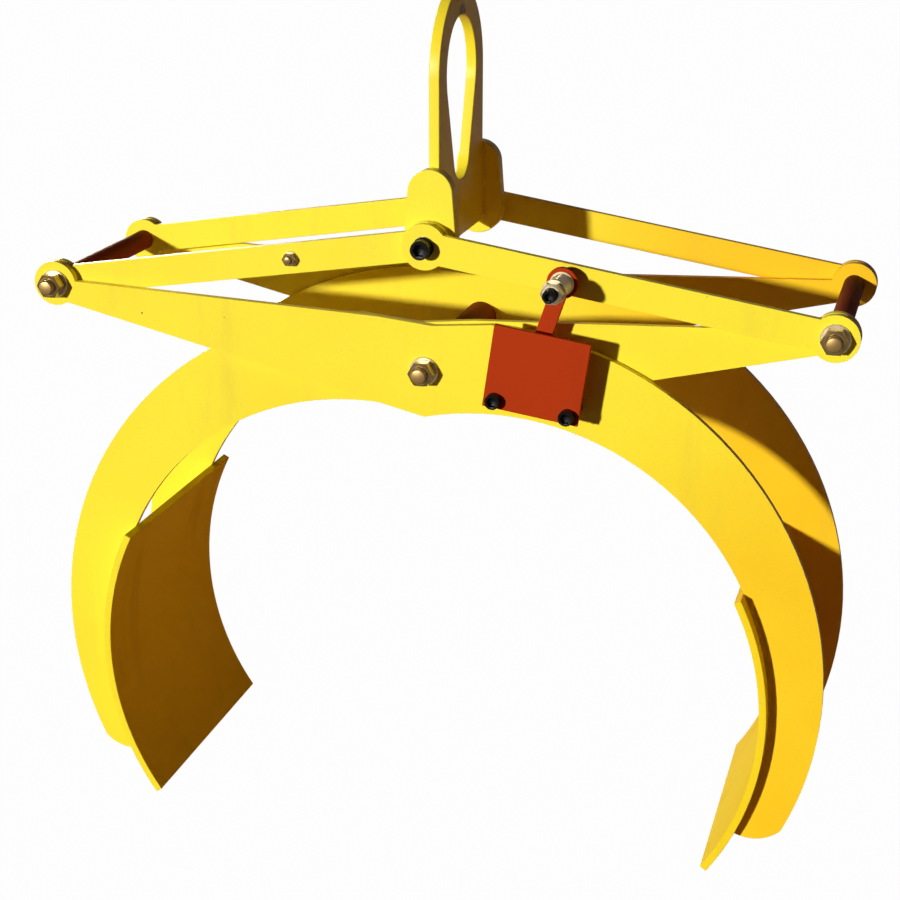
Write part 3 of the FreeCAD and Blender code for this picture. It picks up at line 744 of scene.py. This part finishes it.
    def soften(self, node: str, finish: Finish, width: float, segments: int = 2) -> bpy.types.Object:
        """Replace a plate by a copy of itself with rounded, worn edges.

        Args:
            node: The plate's node.
            finish: Its finish.
            width: How far the rounding reaches, in metres.
            segments: Steps across the rounding.

        Returns:
            The piece.
        """
        mesh = bmesh.new()
        mesh.from_mesh(self.frame["nodes"][node].data)
        bmesh.ops.remove_doubles(mesh, verts=mesh.verts, dist=MERGE_DISTANCE)
        bmesh.ops.dissolve_limit(mesh, angle_limit=FLAT_ANGLE, verts=mesh.verts, edges=mesh.edges)
        sharp = [edge for edge in mesh.edges
                 if len(edge.link_faces) == 2 and edge.calc_face_angle(0.0) > CORNER_ANGLE]
        made = bmesh.ops.bevel(mesh, geom=sharp, offset=width, offset_type="OFFSET", affect="EDGES",
                               segments=segments, profile=0.5, material=-1, clamp_overlap=True)
        layer = mesh.faces.layers.float.new(EDGE_MARK)
        for face in made["faces"]:
            if face.is_valid:
                face[layer] = 1.0
        piece = self.deliver(f"{node}_rounded", mesh, finish, node, smooth=PLATE_SMOOTH)
        weighted = piece.modifiers.new("face_weighted", "WEIGHTED_NORMAL")
        weighted.keep_sharp = True
        return piece

    def repaint(self, node: str, finish: Finish) -> None:
        """Give a node that stays as it is its own finish.

        Args:
            node: The node.
            finish: Its finish.
        """
        item = self.frame["nodes"][node]
        item.data.materials.clear()
        item.data.materials.append(self.paint.get(finish))
        self.dressed.add(node)
        LOG.info("%s keeps its shape", node)


def sleeve(low: float, high: float, outer: float, inner: float, ease: float) -> list[Hoop]:
    """Give the hoops of a tube or washer with eased corners.

    Args:
        low: Its lowest y.
        high: Its highest y.
        outer: The outer radius.
        inner: The inner radius.
        ease: The size of the corner chamfers.

    Returns:
        The hoops, ending where they start.
    """
    loop = [Hoop(low, inner + ease), Hoop(low, outer - ease),
            Hoop(low + ease, outer), Hoop(high - ease, outer),
            Hoop(high, outer - ease), Hoop(high, inner + ease),
            Hoop(high - ease, inner), Hoop(low + ease, inner)]
    return loop + loop[:1]


THREAD_DEPTH = 0.55
THREAD_TURN = ((0.15, 0.0), (0.5, 1.0), (0.85, 0.0))
DOME = 0.08
DOME_STEPS = 5
PIN_SOCKET_DEPTH = mm(8.0)
PIN_SOCKET_POINT = mm(1.0)
PIN_SOCKET_BREAK = mm(0.5)
PIN_SOCKET_MOUTH = 1.2


def thread(start: float, end: float, radius: float, pitch: float, socket: float = 0.0) -> list[Hoop]:
    """Give the hoops of a threaded stretch, closed by a chamfered end.

    Args:
        start: Where the thread starts.
        end: The bolt's end, on either side of the start.
        radius: The outer radius.
        pitch: The thread's pitch.
        socket: Half the width across flats of a hexagon socket in the end, or 0 for a shallow dome.

    Returns:
        The hoops, ending at the axis.
    """
    way = math.copysign(1.0, end - start)
    depth = pitch * THREAD_DEPTH
    crown = 0.0 if socket else radius * DOME
    length = abs(end - start) - depth - crown
    count = max(1, int(length / pitch))
    hoops = [Hoop(start, radius)]
    for turn in range(count):
        base = start + way * (length - (count - turn) * pitch)
        hoops += [Hoop(base + way * pitch * share, radius - depth * cut) for share, cut in THREAD_TURN]
    hoops += [Hoop(end - way * (depth + crown), radius)]
    rim = radius - depth
    if socket:
        floor = end - way * PIN_SOCKET_DEPTH
        return hoops + [Hoop(end, rim), Hoop(end, socket * PIN_SOCKET_MOUTH),
                        Hoop(end - way * PIN_SOCKET_BREAK, socket, Section.HEXAGON),
                        Hoop(floor, socket, Section.HEXAGON), Hoop(floor - way * PIN_SOCKET_POINT, 0.0)]
    shares = [1.0 - step / DOME_STEPS for step in range(DOME_STEPS + 1)]
    return hoops + [Hoop(end - way * crown * share * share, rim * share) for share in shares]


HEAD_FACE = 0.93
WASHER_FACE = 0.95


@dataclass(frozen=True)
class Bolt:
    """The sizes of a hexagon bolt and its nut: shank radius and half the width across flats first."""

    shank: float
    flats: float
    pitch: float
    head_height: float
    thread_length: float
    washer_face: float = 0.0
    socket: float = 0.0

    def hoops(self, low: float, high: float) -> list[Hoop]:
        """Give the hoops of the bolt, with its head behind and its thread in front.

        Args:
            low: The y of its threaded end.
            high: The y of its head's outer face.

        Returns:
            The hoops.
        """
        seat = high - self.head_height
        hoops = [Hoop(high, 0.0), Hoop(high, self.flats * HEAD_FACE),
                 Hoop(high, self.flats, Section.HEXAGON, -1.0),
                 Hoop(seat + self.washer_face, self.flats, Section.HEXAGON)]
        if self.washer_face:
            face = self.flats * WASHER_FACE
            hoops += [Hoop(seat + self.washer_face, face), Hoop(seat, face)]
        hoops += [Hoop(seat, self.shank)]
        return hoops + thread(low + self.thread_length, low, self.shank, self.pitch, self.socket)


NUT_FACE = 0.86
NUT_MOUTH = mm(0.9)


def nut_hoops(low: float, high: float, flats: float, bore: float) -> list[Hoop]:
    """Give the hoops of a nut with both faces chamfered and a countersunk bore.

    Args:
        low: Its lowest y.
        high: Its highest y.
        flats: Half its width across flats.
        bore: The radius of its hole.

    Returns:
        The hoops, ending where they start.
    """
    mouth = bore + NUT_MOUTH
    face = flats * NUT_FACE
    slope = (flats - face) * CHAMFER
    loop = [Hoop(low, mouth), Hoop(low, face), Hoop(low + slope, flats, Section.HEXAGON, 1.0),
            Hoop(high - slope, flats, Section.HEXAGON, -1.0), Hoop(high, face), Hoop(high, mouth),
            Hoop(high - NUT_MOUTH, bore), Hoop(low + NUT_MOUTH, bore)]
    return loop + loop[:1]


CAP_EASE = mm(1.2)
CAP_FOOT = mm(0.5)
CAP_SOCKET_POINT = mm(1.5)
CAP_SOCKET_BREAK = mm(0.6)
CAP_SOCKET_MOUTH = 1.22


@dataclass(frozen=True)
class Cap:
    """The sizes of a socket head: its radius, height, socket's half width across flats and depth."""

    radius: float
    height: float
    socket: float
    depth: float

    def hoops(self, end: float, way: float) -> list[Hoop]:
        """Give the hoops of the head, from the socket's floor to the seat.

        Args:
            end: The y of the head's outer face.
            way: +1 where the screw runs towards +Y, -1 towards -Y.

        Returns:
            The hoops.
        """
        floor = end + way * self.depth
        return [Hoop(floor + way * CAP_SOCKET_POINT, 0.0), Hoop(floor, self.socket, Section.HEXAGON),
                Hoop(end + way * CAP_SOCKET_BREAK, self.socket, Section.HEXAGON),
                Hoop(end, self.socket * CAP_SOCKET_MOUTH), Hoop(end, self.radius - CAP_EASE),
                Hoop(end + way * CAP_EASE, self.radius, Section.KNURLED),
                Hoop(end + way * (self.height - CAP_EASE), self.radius, Section.KNURLED),
                Hoop(end + way * self.height, self.radius - CAP_FOOT)]


WELD_RIPPLE = 0.10
WELD_SWAY = 0.05
WELD_SWAY_PACE = 1.7
WELD_TIP = 0.35
WELD_TAPER = 0.3


def weld_radius(bead: float, step: int, last: int) -> float:
    """Give a weld bead's radius at a step: rippled, and drawn in at both ends.

    Args:
        bead: The bead's full radius.
        step: The step along the bead.
        last: The number of the last step.

    Returns:
        The radius.
    """
    ripple = 1.0 - WELD_RIPPLE * (step % 2) + WELD_SWAY * math.sin(step * WELD_SWAY_PACE)
    taper = min(1.0, WELD_TIP + WELD_TAPER * min(step, last - step))
    return bead * ripple * taper


# The clamp's sub-assemblies


@dataclass
class Plates:
    """Every flat plate: bail, lugs, links, arms, pads, guard and latch rod."""

    shop: Workshop
    thin_edge: float = mm(1.1)
    thick_edge: float = mm(1.8)
    finishes: dict[str, Finish] = field(default_factory=lambda: {
        "bail_plate": Finish.BAIL, "right_jaw_pad": Finish.PAD, "left_jaw_pad": Finish.PAD,
        "guard_plate": Finish.RED, "latch_rod": Finish.RED})
    thick: tuple[str, ...] = ("bail_plate", "front_lug", "rear_lug")
    thin: tuple[str, ...] = ("left_link_front", "left_link_rear", "right_link_front", "right_link_rear",
                             "right_jaw_arm_front", "right_jaw_arm_rear", "left_jaw_arm_front",
                             "left_jaw_arm_rear", "right_jaw_pad", "left_jaw_pad", "guard_plate", "latch_rod")

    def build(self) -> None:
        """Round every plate's edges and paint it."""
        for names, width in ((self.thick, self.thick_edge), (self.thin, self.thin_edge)):
            for node in names:
                self.shop.soften(node, self.finishes.get(node, Finish.YELLOW), width)


@dataclass
class Head:
    """Shoulder screws, collars, thrust washers and the welds of the lugs."""

    shop: Workshop
    cap: Cap = Cap(radius=mm(15.0), height=mm(20.0), socket=mm(8.5), depth=mm(10.0))
    shoulder: float = mm(12.0)
    shoulder_end: float = mm(57.0)
    thread_radius: float = mm(10.0)
    thread_start: float = mm(58.0)
    length: float = mm(82.0)
    bore: float = mm(12.3)
    ease: float = mm(0.6)
    collar: float = mm(6.0)
    washer: float = mm(4.0)
    bead: float = mm(4.5)
    bead_steps: int = 60
    bead_sink: float = mm(0.6)
    bead_foot: float = mm(4.0)
    bead_top: float = mm(5.0)

    def build(self) -> None:
        """Build the head's pieces."""
        self.screws()
        self.shop.washers("head_collars", Finish.BLACK, self.collar, self.bore, self.ease)
        for node in ("lug_thrust_washers", "head_thrust_washers"):
            self.shop.washers(node, Finish.STEEL, self.washer, self.bore, self.ease)
        self.welds()

    def screws(self) -> None:
        """Knurled cap screws with hexagon sockets, one at each end."""
        low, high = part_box("head_screws")
        rows = []
        for end, way in ((low.y, 1.0), (high.y, -1.0)):
            tip = end + way * self.length
            rows.append(self.cap.hoops(end, way) + [
                Hoop(end + way * self.cap.height, self.shoulder),
                Hoop(end + way * self.shoulder_end, self.shoulder),
                Hoop(end + way * self.thread_start, self.thread_radius),
                Hoop(tip, self.thread_radius), Hoop(tip, 0.0)])
        self.shop.turned("head_screws", "socketed", Finish.BLACK, rows)

    def welds(self) -> None:
        """Fillet welds down both faces of the bail plate, against each lug."""
        low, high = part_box("bail_plate")
        foot = low.z + self.bead_foot
        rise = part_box("front_lug")[1].z - self.bead_top - foot
        last = self.bead_steps
        mesh = bmesh.new()
        for y in (low.y + self.bead_sink, high.y - self.bead_sink):
            for x in (low.x, high.x):
                path = [Vector((x, y, foot + rise * step / last)) for step in range(last + 1)]
                self.shop.sweep(mesh, path, lambda step: weld_radius(self.bead, step, last),
                                Vector((1, 0, 0)))
        self.shop.deliver("lug_welds", mesh, Finish.WELD, "bail_plate", replaces=False)


@dataclass
class Pivot:
    """Hardware of one through pivot: bolt, nut, washers and spacer tube."""

    shop: Workshop
    place: str
    size: Bolt = Bolt(shank=mm(12.0), flats=mm(18.0), pitch=mm(3.0), head_height=mm(15.0),
                      thread_length=mm(30.0), washer_face=mm(0.8))
    bore: float = mm(12.3)
    washer: float = mm(4.0)
    washer_ease: float = mm(0.6)
    tube_ease: float = mm(1.2)

    def build(self) -> None:
        """Build the pivot's pieces."""
        self.shop.bolt(f"{self.place}_pivot_bolt", Finish.BOLT, self.size)
        self.shop.nut(f"{self.place}_pivot_nut", Finish.ZINC, self.size)
        for kind in ("pivot", "thrust"):
            node = f"{self.place}_{kind}_washers"
            self.shop.washers(node, Finish.STEEL, self.washer, self.bore, self.washer_ease)
        self.shop.tube(f"{self.place}_spacer_tube", "faced", Finish.BROWN, self.bore, self.tube_ease)


@dataclass
class Stop:
    """The opening stop's bolt, washer and nut on the front left link."""

    shop: Workshop
    size: Bolt = Bolt(shank=mm(6.0), flats=mm(9.5), pitch=mm(1.75), head_height=mm(7.5),
                      thread_length=mm(16.0))
    ease: float = mm(0.4)

    def build(self) -> None:
        """Build the stop's pieces."""
        self.shop.bolt("stop_bolt", Finish.ZINC, self.size)
        self.shop.nut("stop_nut", Finish.ZINC, self.size)
        self.shop.tube("stop_washer", "eased", Finish.STEEL, self.size.shank, self.ease, "stop_bolt")


@dataclass
class Latch:
    """The latch pin with its spacer, washers, coil spring and nut."""

    shop: Workshop
    size: Bolt = Bolt(shank=mm(10.0), flats=mm(15.0), pitch=mm(2.5), head_height=mm(12.5),
                      thread_length=mm(60.0), socket=mm(5.5))
    spacer_ease: float = mm(0.8)
    washer: float = mm(3.0)
    washer_ease: float = mm(0.5)
    wire: float = mm(1.9)
    turns: int = 9
    turn_steps: int = 28
    flat_turn: float = 0.75

    def build(self) -> None:
        """Build the latch's pieces."""
        pin = self.size.shank
        self.shop.bolt("latch_pin", Finish.BLACK, self.size)
        self.shop.nut("latch_nut", Finish.STEEL, self.size)
        self.shop.tube("latch_spacer", "faced", Finish.BROWN, pin, self.spacer_ease)
        self.shop.washers("latch_washers", Finish.STEEL, self.washer, pin, self.washer_ease,
                          "latch_spacer")
        self.spring()

    def spring(self) -> None:
        """Coil spring with a flat turn at each end."""
        x, z = self.shop.centre("latch_spring")
        low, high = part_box("latch_spring")
        reach = (high.x - low.x) / 2 - self.wire
        rise = high.y - low.y - 2 * self.wire
        path = []
        for step in range(self.turns * self.turn_steps + 1):
            turn = step / self.turn_steps
            share = (turn - self.flat_turn) / (self.turns - 2 * self.flat_turn)
            y = low.y + self.wire + rise * min(max(share, 0.0), 1.0)
            angle = FULL_TURN * turn
            path.append(Vector((x + reach * math.cos(angle), y, z + reach * math.sin(angle))))
        mesh = bmesh.new()
        self.shop.sweep(mesh, path, lambda step: self.wire, Vector((0, 1, 0)), 12)
        self.shop.deliver("latch_spring_coil", mesh, Finish.STEEL, "latch_spring")


@dataclass
class Guard:
    """The guard's standoffs and cap screws, and the catch pin behind it."""

    shop: Workshop
    cap: Cap = Cap(radius=mm(12.0), height=mm(16.0), socket=mm(7.0), depth=mm(8.0))
    shank: float = mm(8.0)
    standoff: float = mm(12.5)
    standoff_ease: float = mm(0.8)
    pin_ease: float = mm(1.0)

    def build(self) -> None:
        """Build the guard's pieces."""
        low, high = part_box("guard_screws")
        reach = self.cap.radius
        places = [(low.x + reach, high.z - reach), (high.x - reach, low.z + reach)]
        screw = self.cap.hoops(low.y, 1.0) + [
            Hoop(low.y + self.cap.height, self.shank), Hoop(high.y, self.shank), Hoop(high.y, 0.0)]
        self.shop.turned("guard_screws", "socketed", Finish.BLACK, [screw], places)
        low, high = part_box("guard_standoffs")
        tube = sleeve(low.y, high.y, self.standoff, self.shank, self.standoff_ease)
        self.shop.turned("guard_standoffs", "faced", Finish.BROWN, [tube], places)
        self.pin()

    def pin(self) -> None:
        """Catch pin with eased ends."""
        low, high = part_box("catch_pin")
        reach = (high.x - low.x) / 2
        face = reach - self.pin_ease
        pin = [Hoop(low.y, 0.0), Hoop(low.y, face), Hoop(low.y + self.pin_ease, reach),
               Hoop(high.y - self.pin_ease, reach), Hoop(high.y, face), Hoop(high.y, 0.0)]
        self.shop.turned("catch_pin", "turned", Finish.ZINC, [pin])


@dataclass
class PadWelds:
    """Fillet welds between each arm plate and its pad's back."""

    shop: Workshop
    centre_x: float = mm(92.2)
    centre_z: float = mm(-1051.4)
    radius: float = mm(469.0)
    start: float = math.radians(24.5)
    stop: float = math.radians(-24.5)
    bead: float = mm(4.5)
    steps: int = 110

    def build(self) -> None:
        """Run a bead on each side of every arm plate, along its pad's back."""
        for side, way in (("right", 1.0), ("left", -1.0)):
            mesh = bmesh.new()
            for plate in ("front", "rear"):
                low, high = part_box(f"{side}_jaw_arm_{plate}")
                for y in (low.y, high.y):
                    self.shop.sweep(mesh, self.route(way, y),
                                    lambda step: weld_radius(self.bead, step, self.steps), Vector((0, 1, 0)))
            self.shop.deliver(f"{side}_pad_welds", mesh, Finish.WELD, f"{side}_jaw_pad", replaces=False)

    def route(self, way: float, y: float) -> list[Vector]:
        """Give the points of a bead along the arc of a pad's back.

        Args:
            way: +1 for the right pad, -1 for the left.
            y: The y of the arm plate's face.

        Returns:
            The points.
        """
        path = []
        for step in range(self.steps + 1):
            angle = self.start + (self.stop - self.start) * step / self.steps
            x = self.centre_x + self.radius * math.cos(angle)
            path.append(Vector((way * x, y, self.centre_z + self.radius * math.sin(angle))))
        return path


def aim(item: bpy.types.Object, way: Vector) -> None:
    """Turn a lamp so that it shines along a direction."""
    item.rotation_mode = "QUATERNION"
    item.rotation_quaternion = way.to_track_quat("-Z", "Y")


@dataclass
class Studio:
    """Floor, light and camera: white all round, a hard sun in front and softer light behind."""

    floor_z: float = -2.3
    floor_size: float = 60.0
    camera_at: Point = (0.8084, -2.9097, 0.3024)
    yaw: float = 0.2744
    pitch: float = 0.3254
    roll: float = 0.0011
    lens: float = 75.97
    sensor: float = 36.0
    sun_way: Point = (0.44, 1.0, -0.21)
    sun_strength: float = 3.4
    sun_angle: float = math.radians(2.5)
    fill_way: Point = (0.55, -0.83, 0.0)
    fill_strength: float = 3.2
    fill_colour: Colour = (1.0, 0.83, 0.58)
    fill_angle: float = math.radians(20)
    bounce_at: Point = (0.4, 0.0, -2.2)
    bounce_to: Point = (-0.5, 0.0, -1.0)
    bounce_power: float = 5.4
    bounce_size: float = 0.8
    bounce_colour: Colour = (1.0, 0.34, 0.16)
    ambient: Colour = (0.032, 0.011, 0.007)
    floor_colour: Colour = (0.18, 0.095, 0.055)
    mirrored: float = 0.22
    floor_glow: float = 0.985

    def build(self) -> None:
        """Set up the floor, the lights, the camera and the world."""
        self.floor()
        self.lights()
        self.camera()
        bpy.context.scene.view_settings.view_transform = "Standard"

    def floor(self) -> None:
        """A floor that looks plain white, and throws back little light."""
        mesh = bmesh.new()
        bmesh.ops.create_grid(mesh, x_segments=1, y_segments=1, size=self.floor_size / 2,
                              matrix=Matrix.Translation((0, 0, self.floor_z)))
        data = bpy.data.meshes.new("studio_floor")
        mesh.to_mesh(data)
        mesh.free()
        floor = put("studio_floor", data)
        graph = Graph("studio_floor")
        material = graph.dress(base_color=self.floor_colour, roughness=0.9)
        glow = graph.add("ShaderNodeEmission", inputs={"Color": (1.0, 1.0, 1.0), "Strength": 1.0})
        mixed = graph.add("ShaderNodeMixShader", inputs={
            0: graph.seen(self.mirrored) * self.floor_glow,
            1: graph.shader.outputs["BSDF"], 2: glow.outputs["Emission"]})
        graph.feed(graph.output.inputs["Surface"], mixed.outputs["Shader"])
        floor.data.materials.append(material)

    def lights(self) -> None:
        """A sun from the front left, another from behind, a lamp at the ground and a dim world."""
        self.sun("key_light", self.sun_way, self.sun_strength, self.sun_angle)
        self.sun("fill_light", self.fill_way, self.fill_strength, self.fill_angle, self.fill_colour)
        self.bounce()
        world = bpy.data.worlds.new("studio_world")
        world.use_nodes = True
        sheet = Sheet(world.node_tree)
        colour = sheet.blend(sheet.seen(self.mirrored), self.ambient, (1.0, 1.0, 1.0))
        backdrop = sheet.add("ShaderNodeBackground", inputs={"Color": colour, "Strength": 1.0})
        sheet.add("ShaderNodeOutputWorld", inputs={"Surface": backdrop.outputs["Background"]})
        bpy.context.scene.world = world

    def sun(self, name: str, way: Point, strength: float, angle: float,
            colour: Colour = (1.0, 1.0, 1.0)) -> None:
        """Hang a lamp far away.

        Args:
            name: The lamp's name.
            way: The direction in which its light goes.
            strength: Its strength in watts per square metre.
            angle: How wide it looks.
            colour: Its colour.
        """
        lamp = bpy.data.lights.new(name, "SUN")
        lamp.color = colour
        lamp.energy = strength
        lamp.angle = angle
        aim(put(name, lamp), Vector(way))

    def bounce(self) -> None:
        """Light the jaws from below at the right, as the ground does."""
        lamp = bpy.data.lights.new("ground_light", "AREA")
        lamp.energy = self.bounce_power
        lamp.color = self.bounce_colour
        lamp.size = self.bounce_size
        item = put("ground_light", lamp)
        item.location = self.bounce_at
        aim(item, Vector(self.bounce_to) - Vector(self.bounce_at))
        item.visible_camera = False
        item.visible_glossy = False

    def camera(self) -> None:
        """The photograph's camera."""
        data = bpy.data.cameras.new("camera")
        data.lens = self.lens
        data.sensor_width = self.sensor
        item = put("camera", data)
        flat = math.cos(self.pitch)
        ahead = Vector((-math.sin(self.yaw) * flat, math.cos(self.yaw) * flat, -math.sin(self.pitch)))
        turn = ahead.to_track_quat("-Z", "Y").to_matrix().to_4x4()
        item.matrix_world = Matrix.Translation(self.camera_at) @ turn @ Matrix.Rotation(self.roll, 4, "Z")
        bpy.context.scene.camera = item


def main() -> None:
    """Build every piece in order."""
    logging.basicConfig(level=logging.INFO, format="%(message)s")
    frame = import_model()
    shop = Workshop(frame)
    Plates(shop).build()
    Head(shop).build()
    for place in ("left_corner", "right_corner", "main"):
        Pivot(shop, place).build()
    Stop(shop).build()
    Latch(shop).build()
    Guard(shop).build()
    PadWelds(shop).build()
    for node in sorted(set(frame["nodes"]) - shop.dressed):
        shop.repaint(node, Finish.BRONZE)
    Studio().build()


if __name__ == "__main__":
    main()
